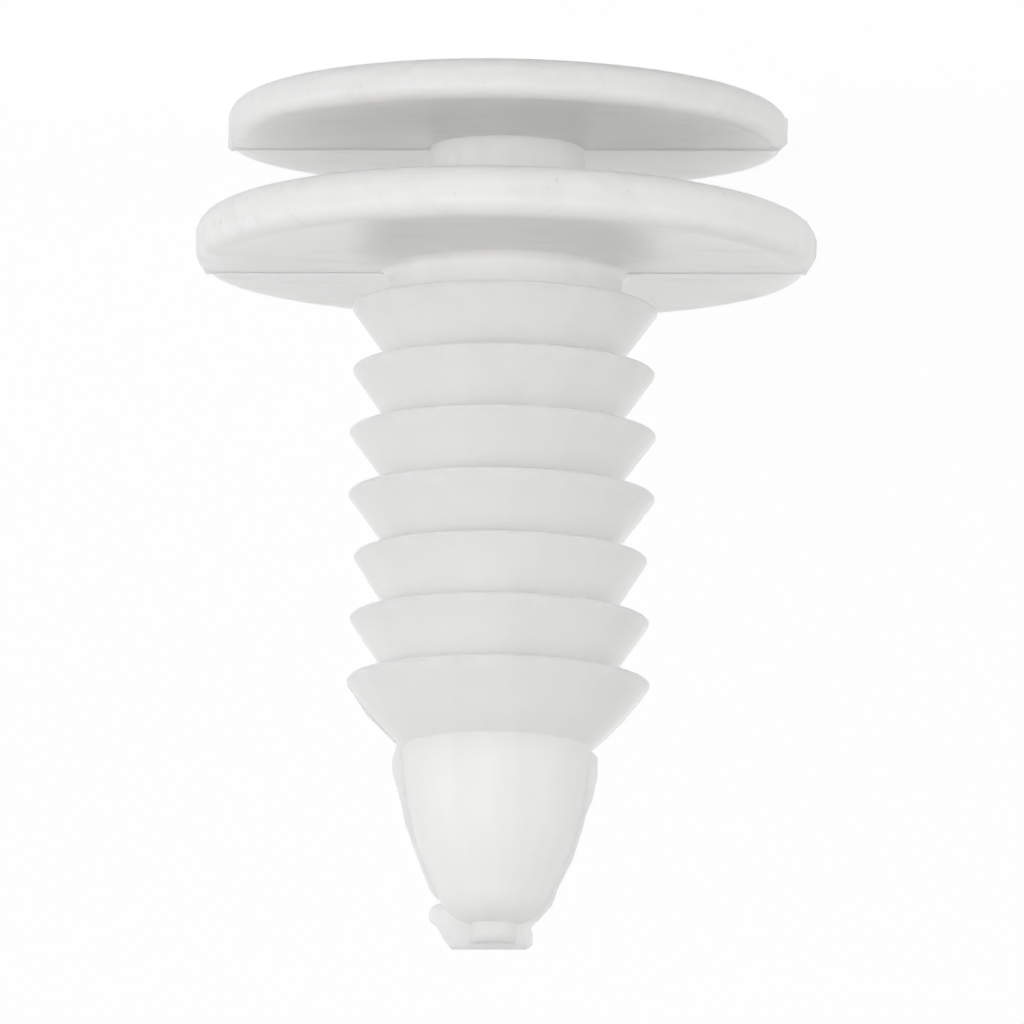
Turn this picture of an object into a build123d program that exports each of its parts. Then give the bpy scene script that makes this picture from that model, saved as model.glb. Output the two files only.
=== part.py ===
from build123d import *
from math import tan, radians
import os

# A push-in clip for a car door panel, moulded in one piece of nylon.
# It stands on its flat round head: Z = 0 is the outer face of the head, +Z runs along the axis to the tip.
# The mould parts on the XZ plane. The half at -Y is full size with level faces. The half at +Y is a little smaller,
# its faces slope, and it sits a hair out of line towards +X.

# Head: the thin round plate that is caught behind the slot of the door card.
head_d = 17.9
head_t = 1.29
head_edge_r = 0.46
head_far_slope = 2.9
head_far_inset = 0.08

# Neck: the round post between the head and the flange.
neck_d = 4.96
gap_h = 2.35

# Flange: the larger plate that covers the hole in the door.
flange_d = 19.86
flange_t = 1.67
flange_edge_r = 0.6
flange_far_slope = 2.1
flange_far_inset = 0.2

# Shank: the stem below the flange, and the seven barbed ribs around it.
collar_d = 7.45
collar_fillet_r = 0.3
first_rib = 1.15
rib_pitch = 2.02
rib_root_d = 6.96
rib_land = 0.11
rib_bevel = 0.05
rib_rim_d = [9.74, 9.64, 9.78, 9.78, 9.36, 9.56, 9.66]

# Nose: the long last flank, and the bullet that finds the hole.
last_flank = 2.18
last_bulge = 0.12
nose_top_d = 6.04
nose_mid_d = 5.36
nose_low_d = 3.70
nose_mid = 2.48
nose_low = 4.73
nose_end = 5.73

# Gate stub: the short round peg that is left where the plastic entered the mould.
stub_d = 1.5
stub_l = 0.63

# Flash: the thin skin of plastic that leaked into the joint of the mould.
mould_shift = 0.1
flash_t = 0.14
flash_w = 0.21
flash_wide = 0.33
flash_narrow = 0.14
seam_w = 0.12
seam_h = 0.04
seam_gap = 0.02
gate_skin_t = 0.3
ear_d = 0.72

# Heights of the main faces, measured from the outer face of the head.
head_r = head_d / 2
flange_r = flange_d / 2
flange_z = head_t + gap_h
seat_z = flange_z + flange_t
rib_z = [seat_z + first_rib + rib_pitch * k for k in range(len(rib_rim_d))]
nose_z = rib_z[-1] + last_flank
stub_z = nose_z + nose_end
tip_z = stub_z + stub_l


# One half of a round plate. It stops just short of the seam, and its tip-side face may slope away from the seam.
# Where the slope leaves the rim too thin for its rounded edges, they get smaller with it.
def half_plate(radius, z, thick, edge_r, side, slope, shift):
    reach = radius * 1.2
    rim_t = thick - radius * tan(radians(slope))
    with BuildPart() as half:
        with BuildSketch(Plane.XY.offset(z)):
            with Locations((shift, 0)):
                Circle(radius)
            with Locations((0, side * (seam_gap - radius * 1.1))):
                Rectangle(reach * 2, radius * 2.2, mode=Mode.SUBTRACT)
        extrude(amount=thick)
        if slope:
            with BuildSketch(Plane.YZ):
                with BuildLine():
                    level = z + thick
                    Polyline((0, level), (reach, level + 0.5), (reach, level - reach * tan(radians(slope))), close=True)
                make_face()
            extrude(amount=reach, both=True, mode=Mode.SUBTRACT)
        rims = half.edges().filter_by(lambda edge: edge.geom_type != GeomType.LINE)
        fillet(rims, radius=min(edge_r, rim_t * 0.46))
    return half.part


with BuildPart() as clip:
    # Two round plates, each a level half and a sloped half with rounded rims.
    for radius, z, thick, edge_r, inset, slope in (
        (head_r, 0, head_t, head_edge_r, head_far_inset, head_far_slope),
        (flange_r, flange_z, flange_t, flange_edge_r, flange_far_inset, flange_far_slope),
    ):
        add(half_plate(radius, z, thick, edge_r, -1, 0, 0))
        add(half_plate(radius - inset, z, thick, edge_r, 1, slope, mould_shift))

    # The seam between the halves: a thin wall that fills each plate and stands a hair above its faces.
    head_seam = [
        (-head_r + head_edge_r * 0.8, 0),
        (-head_r - 0.01, head_edge_r * 0.6),
        (-head_r - 0.01, head_t - head_edge_r * 0.5),
        (-head_r + head_edge_r * 0.6, head_t + seam_h),
        (head_r - 0.06, head_t + seam_h),
        (head_r + seam_h, head_t - 0.06),
        (head_r + seam_h, 0.12),
        (head_r - 0.12, 0),
    ]
    flange_seam = [
        (-flange_r + flange_edge_r * 0.5, flange_z - seam_h),
        (-flange_r - 0.03, flange_z + flange_t * 0.35),
        (-flange_r - 0.03, flange_z + flange_t * 0.65),
        (-flange_r + flange_edge_r * 0.5, seat_z + seam_h),
        (flange_r - flange_edge_r * 0.5, seat_z + seam_h),
        (flange_r + 0.03, flange_z + flange_t * 0.65),
        (flange_r + 0.03, flange_z + flange_t * 0.35),
        (flange_r - flange_edge_r * 0.5, flange_z - seam_h),
    ]
    for outline in (head_seam, flange_seam):
        with BuildSketch(Plane.XZ):
            with BuildLine():
                Polyline(*outline, close=True)
            make_face()
        extrude(amount=seam_w / 2, both=True)

    # Neck: the round post, from inside the head to inside the flange.
    with BuildSketch(Plane.XZ):
        with BuildLine():
            Polyline(
                (0, head_t / 2),
                (neck_d / 2, head_t / 2),
                (neck_d / 2, flange_z + flange_t / 2),
                (0, flange_z + flange_t / 2),
                close=True,
            )
        make_face()
    revolve(axis=Axis.Z)

    # Shank and ribs: each rib has a level upper face, a narrow rim and a long slope towards the tip.
    with BuildSketch(Plane.XZ):
        with BuildLine():
            fillet_top = (collar_d / 2 + collar_fillet_r, seat_z)
            fillet_end = (collar_d / 2, seat_z + collar_fillet_r)
            Polyline((0, flange_z + flange_t / 2), (fillet_top[0], flange_z + flange_t / 2), fillet_top)
            RadiusArc(fillet_top, fillet_end, collar_fillet_r)
            start = (collar_d / 2, rib_z[0])
            Line(fillet_end, start)
            for k, z in enumerate(rib_z):
                rim_r = rib_rim_d[k] / 2
                slope_start = (rim_r, z + rib_land)
                Polyline(start, (rim_r - rib_bevel, z), (rim_r, z + rib_bevel), slope_start)
                if k < len(rib_z) - 1:
                    start = (rib_root_d / 2, rib_z[k + 1])
                    Line(slope_start, start)
            # The last flank swells a little, then meets the bullet at a clear edge.
            half_r = (rib_rim_d[-1] + nose_top_d) / 4 + last_bulge
            half_z = (slope_start[1] + nose_z) / 2
            ThreePointArc(slope_start, (half_r, half_z), (nose_top_d / 2, nose_z))
            ThreePointArc(
                (nose_top_d / 2, nose_z),
                (nose_mid_d / 2, nose_z + nose_mid),
                (nose_low_d / 2, nose_z + nose_low),
            )
            ThreePointArc(
                (nose_low_d / 2, nose_z + nose_low),
                (nose_low_d / 2 - 0.36, nose_z + (nose_low + nose_end) / 2 + 0.1),
                (stub_d / 2, stub_z),
            )
            Polyline((stub_d / 2, stub_z), (stub_d / 2, tip_z), (0, tip_z), (0, flange_z + flange_t / 2))
        make_face()
    revolve(axis=Axis.Z)

    # Flash in the plane of the seam. Each skin starts on the axis, so that it always joins the body.
    # It is widest just under the last rib and follows the bullet down to the stub.
    nose_r = nose_top_d / 2
    mid_r = nose_mid_d / 2
    low_r = nose_low_d / 2
    last_rim_r = rib_rim_d[-1] / 2
    left_skin = [
        (0, rib_z[-1] + 0.1),
        (last_rim_r + 0.02, rib_z[-1] + 0.12),
        ((last_rim_r + nose_r) / 2 + last_bulge + 0.13, rib_z[-1] + last_flank * 0.52),
        (nose_r + flash_w * 0.9, nose_z - 0.1),
        (nose_r + flash_wide, nose_z + 0.4),
        (nose_r + flash_wide, nose_z + 0.75),
        (nose_r + flash_w, nose_z + 1.15),
        (nose_r + 0.04, nose_z + 1.7),
        (mid_r + flash_w, nose_z + nose_mid),
        ((mid_r + low_r) / 2 + flash_w, nose_z + (nose_mid + nose_low) / 2),
        (low_r + flash_w, nose_z + nose_low - 0.1),
        (low_r - 0.02, nose_z + nose_low + 0.17),
        (0, nose_z + nose_low + 0.17),
    ]
    right_skin = [
        (0, nose_z + 0.02),
        (-nose_r + 0.05, nose_z + 0.02),
        (-nose_r - flash_w, nose_z + 0.3),
        (-nose_r - flash_w, nose_z + 0.95),
        (-nose_r - 0.05, nose_z + 1.7),
        (-nose_r + 0.13, nose_z + 2.15),
        (-mid_r - flash_narrow, nose_z + nose_mid),
        ((-mid_r - low_r) / 2 - flash_narrow * 1.6, nose_z + (nose_mid + nose_low) / 2),
        (-low_r - flash_narrow * 1.2, nose_z + nose_low - 0.15),
        (-low_r, nose_z + nose_low + 0.38),
        (-low_r + 0.42, stub_z - 0.15),
        (0, stub_z - 0.15),
    ]
    for outline in (left_skin, right_skin):
        with BuildSketch(Plane.XZ):
            with BuildLine():
                Polyline(*outline, close=True)
            make_face()
        extrude(amount=flash_t / 2, both=True)

    # The torn skin around the stub, thicker than the flash, with a small round ear on one side.
    stub_r = stub_d / 2
    tear_skin = [
        (0, nose_z + nose_low),
        (-low_r + 0.2, nose_z + nose_low + 0.2),
        (-low_r + 0.4, stub_z - 0.2),
        (-stub_r - 0.42, stub_z + 0.08),
        (-stub_r - 0.5, stub_z + 0.28),
        (-stub_r - 0.48, tip_z - 0.02),
        (-stub_r - 0.3, tip_z + 0.14),
        (stub_r + 0.6, tip_z + 0.14),
        (stub_r + 0.78, tip_z - 0.08),
        (stub_r + 0.96, tip_z - 0.36),
        (low_r + 0.02, stub_z - 0.02),
        (low_r - 0.2, nose_z + nose_low + 0.2),
    ]
    with BuildSketch(Plane.XZ):
        with BuildLine():
            Polyline(*tear_skin, close=True)
        make_face()
        with Locations((low_r - 0.13, stub_z - 0.3)):
            Circle(ear_d / 2)
    extrude(amount=gate_skin_t / 2, both=True)

clip.part.label = "clip_body"
os.makedirs("parts", exist_ok=True)
export_step(clip.part, "parts/clip_body.step")
bounds = clip.part.bounding_box()
print("solids", len(clip.solids()), "valid", clip.part.is_valid)
print("length", round(bounds.size.Z, 3), "across", round(bounds.size.X, 3), "volume", round(clip.part.volume, 2))
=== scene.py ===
from math import cos, radians, sin

import bpy
from mathutils import Matrix, Vector


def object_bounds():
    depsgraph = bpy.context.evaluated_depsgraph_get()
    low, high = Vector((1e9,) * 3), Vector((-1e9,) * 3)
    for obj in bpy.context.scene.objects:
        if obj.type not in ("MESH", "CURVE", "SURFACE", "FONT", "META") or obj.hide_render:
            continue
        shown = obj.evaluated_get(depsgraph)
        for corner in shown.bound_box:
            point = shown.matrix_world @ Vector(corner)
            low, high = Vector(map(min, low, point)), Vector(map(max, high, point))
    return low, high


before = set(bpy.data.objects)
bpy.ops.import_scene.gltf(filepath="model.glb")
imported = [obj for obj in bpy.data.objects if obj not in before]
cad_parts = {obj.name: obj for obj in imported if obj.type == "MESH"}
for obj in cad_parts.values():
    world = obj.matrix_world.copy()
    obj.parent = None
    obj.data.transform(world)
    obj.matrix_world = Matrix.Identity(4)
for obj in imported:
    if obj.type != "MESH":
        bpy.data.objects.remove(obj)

# %% [markdown]
# # The looks of a door panel clip
# The clip is one moulding of natural nylon: a round head, a short neck, a wider flange, a shank with barbed
# ribs, and a bullet tip with the broken stub of the gate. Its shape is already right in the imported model,
# with the flash and the seam of the mould, so nothing is remodelled here. It gets a proper nylon, a white
# table, soft light and a camera. The clip stands on its head with its tip up. The photograph shows it the
# other way round, so the camera is turned over.

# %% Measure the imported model
cad_box = [list(corner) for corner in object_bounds()]
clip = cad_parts["clip_body"]
clip_height = cad_box[1][2]
print("clip height in mm", round(clip_height * 1000, 2), "across in mm", round(cad_box[1][0] * 2000, 2))

# %% [markdown]
# Every effect below is a few shader nodes, and these helpers keep the code short. They add a node and set
# its sockets, add a noise, join two sockets, do a sum with numbers or with vectors, fade a value in between
# two limits, and find the distance from the clip's axis. The last two start a node group with named sockets
# and place it in a material, so that each effect can be read and used by itself.

# %% Helpers for shader nodes
VECTOR, NUMBER = "NodeSocketVector", "NodeSocketFloat"


def add_node(tree, kind, label, **sockets):
    node = tree.nodes.new(kind)
    node.label = label
    for socket, value in sockets.items():
        node.inputs[socket.replace("_", " ")].default_value = value
    return node


def join(tree, source, output, target, name):
    tree.links.new(source.outputs[output], target.inputs[name])


def put(tree, value, socket):
    if isinstance(value, bpy.types.NodeSocket):
        tree.links.new(value, socket)
    else:
        socket.default_value = value


def sum_node(tree, label, operation, *values):
    node = tree.nodes.new("ShaderNodeMath")
    node.label = label
    node.operation = operation
    for socket, value in zip(node.inputs, values):
        put(tree, value, socket)
    return node.outputs[0]


def noise_node(tree, label, place, **sockets):
    node = add_node(tree, "ShaderNodeTexNoise", label, **sockets)
    tree.links.new(place, node.inputs["Vector"])
    return node


def vector_node(tree, label, operation):
    node = add_node(tree, "ShaderNodeVectorMath", label)
    node.operation = operation
    return node


def fade(tree, label, value, start, end, low=0.0, high=1.0):
    node = tree.nodes.new("ShaderNodeMapRange")
    node.label = label
    node.interpolation_type = "SMOOTHSTEP"
    for socket, given in zip(node.inputs, (value, start, end, low, high)):
        put(tree, given, socket)
    return node.outputs["Result"]


def axis_distance(tree, split):
    x, y = split.outputs["X"], split.outputs["Y"]
    square = sum_node(tree, "x squared", "MULTIPLY", x, x)
    square = sum_node(tree, "and y squared", "MULTIPLY_ADD", y, y, square)
    return sum_node(tree, "distance from the axis", "SQRT", square)


def start_group(name, inputs, outputs):
    group = bpy.data.node_groups.new(name, "ShaderNodeTree")
    for socket, kind in inputs.items():
        group.interface.new_socket(socket, in_out="INPUT", socket_type=kind)
    for socket, kind in outputs.items():
        group.interface.new_socket(socket, in_out="OUTPUT", socket_type=kind)
    return group, group.nodes.new("NodeGroupInput"), group.nodes.new("NodeGroupOutput")


def place_group(tree, group, place, **values):
    node = tree.nodes.new("ShaderNodeGroup")
    node.node_tree = group
    node.label = group.name
    tree.links.new(place, node.inputs["Place in mm"])
    for socket, value in values.items():
        node.inputs[socket.replace("_", " ")].default_value = value
    return node


# %% [markdown]
# ## Where the plastic flowed
# Molten nylon enters at the tip, runs along the shank and spreads outwards in the plates. It turns milky as
# it freezes, more in some places than in others, and faint streaks stay along the way it ran. An image
# could hold that, but the surface would have to be unwrapped for it. Noise in space needs no unwrapping.
# Here the streaks take their place from the direction around the axis and, much more slowly, from the
# length of the way to the gate. So they run lengthwise on the shank and like spokes on the plates.

# %% Group: milky flow
streak_change_per_mm = 0.16

milky_flow, given, result = start_group(
    "milky flow",
    {"Place in mm": VECTOR, "Clouds per mm": NUMBER, "Streaks around": NUMBER},
    {"Cloud": NUMBER, "Streak": NUMBER},
)
place = given.outputs["Place in mm"]
cloud = noise_node(milky_flow, "milky clouds", place, Detail=3.0, Roughness=0.5, Distortion=0.8)
join(milky_flow, given, "Clouds per mm", cloud, "Scale")
join(milky_flow, cloud, "Fac", result, "Cloud")
across = vector_node(milky_flow, "across the axis", "MULTIPLY")
across.inputs[1].default_value = (1.0, 1.0, 0.0)
join(milky_flow, given, "Place in mm", across, 0)
round_axis = vector_node(milky_flow, "direction around the axis", "NORMALIZE")
join(milky_flow, across, "Vector", round_axis, 0)
spread = vector_node(milky_flow, "how many streaks", "SCALE")
join(milky_flow, round_axis, "Vector", spread, 0)
join(milky_flow, given, "Streaks around", spread, "Scale")
reach = vector_node(milky_flow, "distance from the axis", "LENGTH")
join(milky_flow, across, "Vector", reach, 0)
height = add_node(milky_flow, "ShaderNodeSeparateXYZ", "height")
join(milky_flow, given, "Place in mm", height, "Vector")
way = sum_node(milky_flow, "way from the gate", "SUBTRACT", reach.outputs["Value"], height.outputs["Z"])
slow = sum_node(milky_flow, "slowly along it", "MULTIPLY", way, streak_change_per_mm)
along = add_node(milky_flow, "ShaderNodeCombineXYZ", "along the flow")
put(milky_flow, slow, along.inputs["Z"])
where = vector_node(milky_flow, "place in the streaks", "ADD")
join(milky_flow, spread, "Vector", where, 0)
join(milky_flow, along, "Vector", where, 1)
flow_place = where.outputs["Vector"]
streak = noise_node(milky_flow, "flow streaks", flow_place, Scale=1.0, Detail=2.0, Roughness=0.55)
join(milky_flow, streak, "Fac", result, "Streak")
print("group", milky_flow.name, "with", len(milky_flow.nodes), "nodes")

# %% [markdown]
# ## Where it was rubbed
# Loose clips are tumbled in bags and bins, so the outermost edges are rubbed: they are a little whiter and
# duller. The rims of the head, the flange and the ribs are the widest places at their height, so the
# distance from the axis finds them. A patchy noise keeps the wear from looking like a painted ring.

# %% Group: rubbed rims
head_radius = 8.95
flange_radius = 9.93
rib_radius = 4.8
flange_underside = 3.2
shank_start = 5.5
head_wear, flange_wear, rib_wear = 0.45, 0.5, 0.3
patch_edges = 0.35, 0.65

rubbed_rims, given, result = start_group("rubbed rims", {"Place in mm": VECTOR}, {"Rubbed": NUMBER})
split = add_node(rubbed_rims, "ShaderNodeSeparateXYZ", "sideways and height")
join(rubbed_rims, given, "Place in mm", split, "Vector")
radius = axis_distance(rubbed_rims, split)
on_head = fade(rubbed_rims, "head rim", radius, head_radius - head_wear, head_radius)
below = sum_node(rubbed_rims, "below the flange", "LESS_THAN", split.outputs["Z"], flange_underside)
on_head = sum_node(rubbed_rims, "head only", "MULTIPLY", on_head, below)
on_flange = fade(rubbed_rims, "flange rim", radius, flange_radius - flange_wear, flange_radius)
on_ribs = fade(rubbed_rims, "rib rims", radius, rib_radius - rib_wear, rib_radius)
above = sum_node(rubbed_rims, "above the flange", "GREATER_THAN", split.outputs["Z"], shank_start)
on_ribs = sum_node(rubbed_rims, "ribs only", "MULTIPLY", on_ribs, above)
rims = sum_node(rubbed_rims, "head or flange", "MAXIMUM", on_head, on_flange)
rims = sum_node(rubbed_rims, "or ribs", "MAXIMUM", rims, on_ribs)
place = given.outputs["Place in mm"]
patches = noise_node(rubbed_rims, "patches", place, Scale=0.9, Detail=4.0, Roughness=0.6)
patchy = fade(rubbed_rims, "patchy", patches.outputs["Fac"], *patch_edges)
put(rubbed_rims, sum_node(rubbed_rims, "rubbed", "MULTIPLY", rims, patchy), result.inputs["Rubbed"])
print("group", rubbed_rims.name, "with", len(rubbed_rims.nodes), "nodes")

# %% [markdown]
# ## Painted shade on the rib edges, painted light on the plates
# The edges of the ribs are set a little clearer and greyer, which is painted shade at the ribs' edges. In
# the photograph the rims of the two plates are the lightest part, so these are set a little milkier than the
# shank, which is painted light. The group gives the rib edges and the plates as masks.

# %% Group: plate and rib masks
rib_core = 3.7
plates_end = 4.9
plates_fade, flange_fade = 1.5, 0.6

plate_and_rib_masks, given, result = start_group("plate_and_rib_masks", {"Place in mm": VECTOR}, {"Thin": NUMBER, "Plates": NUMBER})
split = add_node(plate_and_rib_masks, "ShaderNodeSeparateXYZ", "sideways and height")
join(plate_and_rib_masks, given, "Place in mm", split, "Vector")
radius = axis_distance(plate_and_rib_masks, split)
# The rib edges: the mask for painted shade on the ribs.
thin = fade(plate_and_rib_masks, "towards the rib edges", radius, rib_core, rib_radius)
above = fade(plate_and_rib_masks, "past the flange", split.outputs["Z"], shank_start, shank_start + flange_fade)
thin = sum_node(plate_and_rib_masks, "thin", "MULTIPLY", thin, above)
put(plate_and_rib_masks, thin, result.inputs["Thin"])
# The plates: the mask for painted light on the plates.
plates = fade(plate_and_rib_masks, "plates", split.outputs["Z"], plates_end, plates_end + plates_fade, 1.0, 0.0)
put(plate_and_rib_masks, plates, result.inputs["Plates"])
print("group", plate_and_rib_masks.name, "with", len(plate_and_rib_masks.nodes), "nodes")

# %% [markdown]
# ## Marks of the mould
# The two halves of the mould meet in the plane y = 0. The witness line there stands a hair proud of the
# faces. It and the thin flash in that plane are painted whiter, which is painted light: the light that
# shines through the flash and catches the line. At the tip the gate was torn off, which leaves a dull,
# crumbly end. Both are found by their place.

# %% Group: mould marks
seam_half_width = 0.06
seam_edge = seam_half_width * 1.6
tear_start, tear_fade = 26.4, 0.3

mould_marks, given, result = start_group(
    "mould marks", {"Place in mm": VECTOR}, {"Seam": NUMBER, "Torn": NUMBER}
)
split = add_node(mould_marks, "ShaderNodeSeparateXYZ", "across the seam and height")
join(mould_marks, given, "Place in mm", split, "Vector")
off_seam = sum_node(mould_marks, "distance from the seam", "ABSOLUTE", split.outputs["Y"])
# This mask carries painted light onto the seam line and the flash in its plane.
seam = fade(mould_marks, "seam", off_seam, seam_half_width, seam_edge, 1.0, 0.0)
put(mould_marks, seam, result.inputs["Seam"])
torn = fade(mould_marks, "torn end", split.outputs["Z"], tear_start, tear_start + tear_fade)
put(mould_marks, torn, result.inputs["Torn"])
print("group", mould_marks.name, "with", len(mould_marks.nodes), "nodes")

# %% [markdown]
# ## Handling marks
# The flat faces of the plates carry faint dull smears with small grey specks in them, left by handling. The
# photograph shows them on the sheltered face of the head. They are noise drawn out sideways, faded in
# between two thresholds, so that only a few remain. The shank shows hardly any.

# %% Group: handling marks
smear_stretch = (0.45, 1.5, 1.0)
few_smears = 0.52, 0.68
few_specks = 0.66, 0.74

handling_marks, given, result = start_group(
    "handling marks", {"Place in mm": VECTOR}, {"Smear": NUMBER, "Speck": NUMBER}
)
place = given.outputs["Place in mm"]
drawn_out = vector_node(handling_marks, "drawn out sideways", "MULTIPLY")
drawn_out.inputs[1].default_value = smear_stretch
put(handling_marks, place, drawn_out.inputs[0])
smear_place = drawn_out.outputs["Vector"]
smears = noise_node(
    handling_marks, "smears", smear_place, Scale=0.8, Detail=5.0, Roughness=0.6, Distortion=0.5
)
specks = noise_node(handling_marks, "specks", place, Scale=4.2, Detail=2.0, Roughness=0.5)
smear = fade(handling_marks, "few smears", smears.outputs["Fac"], *few_smears)
put(handling_marks, smear, result.inputs["Smear"])
speck = fade(handling_marks, "few specks", specks.outputs["Fac"], *few_specks)
put(handling_marks, speck, result.inputs["Speck"])
print("group", handling_marks.name, "with", len(handling_marks.nodes), "nodes")

# %% [markdown]
# ## The skin's relief
# A mould for such a clip is polished, so the skin is smooth but never quite flat: thicker places sink a few
# thousandths of a millimetre, and the polishing leaves a very fine grain. The torn end is far rougher. The
# group gives one height in millimetres, which a Bump node in the material turns into a normal.

# %% Group: skin relief
wave_height = 0.03
grain_height = 0.0022
crumb_height = 0.09

skin_relief, given, result = start_group(
    "skin relief", {"Place in mm": VECTOR, "Torn": NUMBER}, {"Height in mm": NUMBER}
)
place = given.outputs["Place in mm"]
waves = noise_node(skin_relief, "sink and ripple", place, Scale=0.6, Detail=2.0, Roughness=0.45)
grain = noise_node(skin_relief, "polishing grain", place, Scale=7.0, Detail=3.0, Roughness=0.6)
crumbs = noise_node(skin_relief, "crumbs of the tear", place, Scale=3.2, Detail=5.0, Roughness=0.7)
relief = sum_node(skin_relief, "waves", "MULTIPLY", waves.outputs["Fac"], wave_height)
relief = sum_node(skin_relief, "and grain", "MULTIPLY_ADD", grain.outputs["Fac"], grain_height, relief)
torn = sum_node(skin_relief, "only where torn", "MULTIPLY", crumbs.outputs["Fac"], given.outputs["Torn"])
relief = sum_node(skin_relief, "and crumbs", "MULTIPLY_ADD", torn, crumb_height, relief)
put(skin_relief, relief, result.inputs["Height in mm"])
print("group", skin_relief.name, "with", len(skin_relief.nodes), "nodes")

# %% [markdown]
# ## Natural nylon
# Natural nylon is milky: light goes in, spreads for a millimetre or two, and comes out softer. That is
# subsurface scattering, and it is why the thin ribs and the flash glow at their edges. A plain white diffuse
# would look like chalk. The colour of the body lies between a clearer and a milkier tone. The groups choose
# between the two and add the whiter, duller and greyer places. Of these, the lighter plates and the whiter
# seam and flash are painted light, and the greyer rib edges are painted shade. What is the same all over,
# such as the scattering depth, is set on the shader.

# %% Material: natural nylon
clear_tone = (0.79, 0.789, 0.782, 1.0)
milky_tone = (0.94, 0.937, 0.924, 1.0)
# This tone serves both the rubbed rims and the painted light on the seam and flash.
rubbed_or_painted_light_tone = (0.935, 0.933, 0.925, 1.0)
handled_tone = (0.75, 0.745, 0.733, 1.0)
scatter_depth = 0.0018
scatter_tint = (1.0, 0.995, 0.98)
refraction = 1.53
polish = 0.3
flow_range, milky_range = (0.7, 1.3), (0.31, 0.47)
# Painted light on the plates and painted shade on the rib edges.
plates_painted_light, rib_edges_painted_shade = 0.35, -0.35
# The seam and the flash in its plane get painted light; the rubbed rims are real wear.
seam_painted_light, worn_whiter, smears_greyer = 0.4, 0.22, 0.2
marks_on_shank = 0.15
milky_duller, rubbed_duller, smeared_duller, torn_duller = 0.06, 0.12, 0.07, 0.25

nylon = bpy.data.materials.new("natural nylon")
nylon.use_nodes = True
tree = nylon.node_tree
skin = tree.nodes["Principled BSDF"]
skin.inputs["IOR"].default_value = refraction
skin.inputs["Subsurface Weight"].default_value = 1.0
skin.inputs["Subsurface Radius"].default_value = scatter_tint
skin.inputs["Subsurface Scale"].default_value = scatter_depth

own_place = add_node(tree, "ShaderNodeTexCoord", "place on the clip")
in_mm = vector_node(tree, "metres to millimetres", "SCALE")
in_mm.inputs["Scale"].default_value = 1000.0
join(tree, own_place, "Object", in_mm, 0)
place = in_mm.outputs["Vector"]
flow = place_group(tree, milky_flow, place, Clouds_per_mm=0.28, Streaks_around=3.5)
rubbed = place_group(tree, rubbed_rims, place)
plate_and_rib_zones = place_group(tree, plate_and_rib_masks, place)
marks = place_group(tree, mould_marks, place)
handled = place_group(tree, handling_marks, place)
relief = place_group(tree, skin_relief, place)
join(tree, marks, "Torn", relief, "Torn")


def blend_tone(label, amount, first, second):
    amount_in, first_colour_in, second_colour_in, colour_out = 0, 6, 7, 2
    node = tree.nodes.new("ShaderNodeMix")
    node.label = label
    node.data_type = "RGBA"
    put(tree, amount, node.inputs[amount_in])
    put(tree, first, node.inputs[first_colour_in])
    put(tree, second, node.inputs[second_colour_in])
    return node.outputs[colour_out]


milky_and_painted_light = sum_node(tree, "clouds and streaks", "ADD", flow.outputs["Cloud"], flow.outputs["Streak"])
milky_and_painted_light = fade(tree, "how milky", milky_and_painted_light, *flow_range, *milky_range)
# The plates are painted lighter and the rib edges greyer: painted light and painted shade.
milky_and_painted_light = sum_node(tree, "painted light on the plates", "MULTIPLY_ADD", plate_and_rib_zones.outputs["Plates"], plates_painted_light, milky_and_painted_light)
milky_and_painted_light = sum_node(tree, "painted shade on the rib edges", "MULTIPLY_ADD", plate_and_rib_zones.outputs["Thin"], rib_edges_painted_shade, milky_and_painted_light)
milky_and_painted_light = sum_node(tree, "between the two tones", "MINIMUM", milky_and_painted_light, 1.0)
tone = blend_tone("body", milky_and_painted_light, clear_tone, milky_tone)
# The seam line and the flash in its plane are painted whiter: painted light. The rubbed rims are real wear.
worn_or_painted_light = sum_node(tree, "seam", "MULTIPLY", marks.outputs["Seam"], seam_painted_light)
wear = sum_node(tree, "a little worn", "MULTIPLY", rubbed.outputs["Rubbed"], worn_whiter)
worn_or_painted_light = sum_node(tree, "or rubbed", "MAXIMUM", worn_or_painted_light, wear)
tone = blend_tone("rubbed or painted light", worn_or_painted_light, tone, rubbed_or_painted_light_tone)
greyer = sum_node(tree, "faint smears", "MULTIPLY", handled.outputs["Smear"], smears_greyer)
specks = sum_node(
    tree, "specks in the smears", "MULTIPLY", handled.outputs["Smear"], handled.outputs["Speck"]
)
greyer = sum_node(tree, "and specks", "MAXIMUM", greyer, specks)
on_plates = fade(tree, "mostly on the plates", plate_and_rib_zones.outputs["Plates"], 0.0, 1.0, marks_on_shank, 1.0)
greyer = sum_node(tree, "few on the shank", "MULTIPLY", greyer, on_plates)
tone = blend_tone("handled greyer", greyer, tone, handled_tone)
put(tree, tone, skin.inputs["Base Color"])

dull = sum_node(tree, "duller where milky", "MULTIPLY_ADD", milky_and_painted_light, milky_duller, polish)
dull = sum_node(tree, "where rubbed", "MULTIPLY_ADD", rubbed.outputs["Rubbed"], rubbed_duller, dull)
dull = sum_node(tree, "where smeared", "MULTIPLY_ADD", handled.outputs["Smear"], smeared_duller, dull)
dull = sum_node(tree, "where torn", "MULTIPLY_ADD", marks.outputs["Torn"], torn_duller, dull)
put(tree, dull, skin.inputs["Roughness"])

bump = add_node(tree, "ShaderNodeBump", "relief to normal", Strength=1.0, Distance=0.001)
join(tree, relief, "Height in mm", bump, "Height")
join(tree, bump, "Normal", skin, "Normal")
clip.data.materials.clear()
clip.data.materials.append(nylon)
print("material", nylon.name, "with", len(tree.nodes), "nodes")


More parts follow.
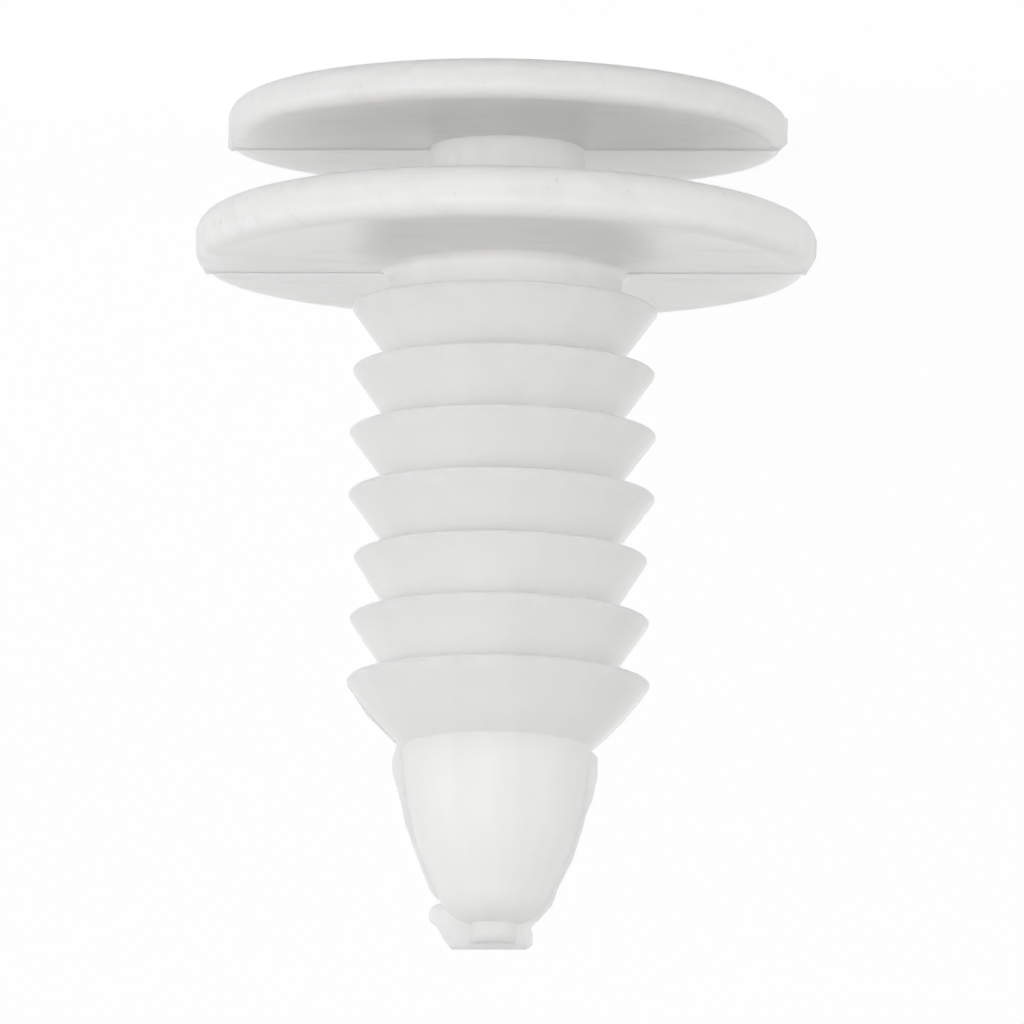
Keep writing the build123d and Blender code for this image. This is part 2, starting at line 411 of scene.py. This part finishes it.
# %% [markdown]
# ## White for the camera
# The background of the photograph is pure white. More light would bleach the clip, so the white is given
# only to the rays that look at it: the camera's, those of a gloss and those that pass through. Light Path
# tells them apart, and the floor and the world both use this.

# %% Rays that see the background
def looking_rays(tree):
    path = add_node(tree, "ShaderNodeLightPath", "which ray looks")
    camera_ray, glossy_ray = path.outputs["Is Camera Ray"], path.outputs["Is Glossy Ray"]
    seen = sum_node(tree, "camera or gloss", "MAXIMUM", camera_ray, glossy_ray)
    return sum_node(tree, "or seen through", "MAXIMUM", seen, path.outputs["Is Transmission Ray"])


# %% [markdown]
# ## The table
# A plain white table top carries the clip. A quarter of its real shading shows, so that the clip's shadow
# stays, faint as it is in this soft light. The shading of the open table comes to about half of plain
# white, and the white above fills up the rest.

# %% Floor
floor_size = 3.0
shading_share = 0.25
open_table = 0.52
table_tone = (0.95, 0.95, 0.95, 1.0)
white_level = (1.0 - shading_share * open_table) / (1.0 - shading_share)

half = floor_size / 2
corners = [(-half, -half, 0), (half, -half, 0), (half, half, 0), (-half, half, 0)]
floor_mesh = bpy.data.meshes.new("floor")
floor_mesh.from_pydata(corners, [], [(0, 1, 2, 3)])
floor = bpy.data.objects.new("floor", floor_mesh)
bpy.context.scene.collection.objects.link(floor)
white_table = bpy.data.materials.new("white table")
white_table.use_nodes = True
tree = white_table.node_tree
table_top = tree.nodes["Principled BSDF"]
table_top.inputs["Base Color"].default_value = table_tone
table_top.inputs["Roughness"].default_value = 0.8
table_top.inputs["Specular IOR Level"].default_value = 0.0
glow = add_node(tree, "ShaderNodeEmission", "white", Color=(1, 1, 1, 1), Strength=white_level)
blend = add_node(tree, "ShaderNodeMixShader", "mostly white when looked at")
white_share = sum_node(tree, "share of white", "MULTIPLY", looking_rays(tree), 1.0 - shading_share)
put(tree, white_share, blend.inputs[0])
join(tree, table_top, "BSDF", blend, 1)
join(tree, glow, "Emission", blend, 2)
join(tree, blend, "Shader", tree.nodes["Material Output"], "Surface")
floor_mesh.materials.append(white_table)
print("floor", floor_size, "m, white level", round(white_level, 3))

# %% [markdown]
# ## The light
# The photograph's light is very soft and reaches deep into the gap between the plates. Here that gap opens
# sideways, just above the table, and light from high up would miss it. So the world is bright near the
# horizon and dimmer above, like a white tent with its lamps set low.

# %% World
horizon_light = 3.7
zenith_light = 0.4
band_top = 0.24
front_share = 0.1
front_azimuth = 20.0

world = bpy.data.worlds.new("studio")
bpy.context.scene.world = world
world.use_nodes = True
tree = world.node_tree
room = tree.nodes["Background"]
room.inputs["Color"].default_value = (1.0, 1.0, 1.0, 1.0)
way = add_node(tree, "ShaderNodeTexCoord", "way the light comes from")
parts = add_node(tree, "ShaderNodeSeparateXYZ", "height of that way")
join(tree, way, "Generated", parts, 0)
level = fade(tree, "horizon to zenith", parts.outputs["Z"], 0.0, band_top, horizon_light, zenith_light)
front = vector_node(tree, "how much from the front", "DOT_PRODUCT")
front.inputs[1].default_value = (sin(radians(front_azimuth)), -cos(radians(front_azimuth)), 0.0)
join(tree, way, "Generated", front, 0)
more = sum_node(tree, "brighter in front", "MULTIPLY_ADD", front.outputs["Value"], front_share, 1.0)
put(tree, sum_node(tree, "level", "MULTIPLY", level, more), room.inputs["Strength"])
backdrop = add_node(tree, "ShaderNodeBackground", "white backdrop", Color=(1, 1, 1, 1), Strength=1.0)
blend = add_node(tree, "ShaderNodeMixShader", "backdrop when looked at")
put(tree, looking_rays(tree), blend.inputs[0])
join(tree, room, "Background", blend, 1)
join(tree, backdrop, "Background", blend, 2)
join(tree, blend, "Shader", tree.nodes["World Output"], "Surface")
print("world from", horizon_light, "at the horizon to", zenith_light, "above")

# %% [markdown]
# Soft round lamps shape the clip a little: one in front, one further round on each side, the right one a
# little warmer as in the photograph, and a weak one low at the back, whose sheen lies on the flat faces of
# the plates. All are large for their distance, so that no edge turns hard.

# %% Lamps
lamp_distance = 0.5


def soft_lamp(name, azimuth, elevation, size, power, colour=(1.0, 1.0, 1.0)):
    lamp = bpy.data.lights.new(name, "AREA")
    lamp.shape = "DISK"
    lamp.size = size
    lamp.energy = power
    lamp.color = colour
    holder = bpy.data.objects.new(name, lamp)
    middle = Vector((0, 0, clip_height / 2))
    turn, rise = radians(azimuth), radians(elevation)
    way = Vector((sin(turn) * cos(rise), -cos(turn) * cos(rise), sin(rise)))
    holder.location = middle + way * lamp_distance
    holder.rotation_euler = (-way).to_track_quat("-Z", "Y").to_euler()
    bpy.context.scene.collection.objects.link(holder)


soft_lamp("front", azimuth=15, elevation=4, size=0.4, power=0.58)
soft_lamp("left", azimuth=70, elevation=4, size=0.3, power=0.26)
soft_lamp("right", azimuth=-60, elevation=4, size=0.3, power=0.2, colour=(1.0, 0.97, 0.93))
soft_lamp("back", azimuth=178, elevation=6, size=0.38, power=0.16)

# %% [markdown]
# ## The camera
# The photograph was taken with a long lens, almost without perspective, from 11 degrees on the tip side of
# the plates. The clip stands on its head here, so the camera looks down on it and is turned over to match.

# %% Camera
camera_yaw = 5.0
camera_elevation = 10.7
camera_roll = 181.05
camera_distance = 1.5
field = 0.03272
aim_height = 0.01307
aim_aside = 0.00034
sensor = 36.0

yaw = radians(camera_yaw)
tilt = radians(camera_elevation)
towards_camera = Vector((-sin(yaw) * cos(tilt), -cos(yaw) * cos(tilt), sin(tilt)))
photo_right = Vector((-cos(yaw), sin(yaw), 0))
aim = Vector((0, 0, aim_height)) + photo_right * aim_aside
lens = bpy.data.cameras.new("photo camera")
lens.sensor_width = sensor
lens.lens = sensor * camera_distance / field
lens.clip_start = 0.1
lens.clip_end = 50.0
camera = bpy.data.objects.new("photo camera", lens)
bpy.context.scene.collection.objects.link(camera)
upright = (-towards_camera).to_track_quat("-Z", "Y").to_matrix().to_4x4()
turned = Matrix.Rotation(radians(camera_roll), 4, "Z")
camera.matrix_world = Matrix.Translation(aim + towards_camera * camera_distance) @ upright @ turned
bpy.context.scene.camera = camera
print("lens in mm", round(lens.lens, 1))

# %% [markdown]
# The Standard view shows a colour as it is written, which a white object on white needs.

# %% Colours as written
bpy.context.scene.view_settings.view_transform = "Standard"
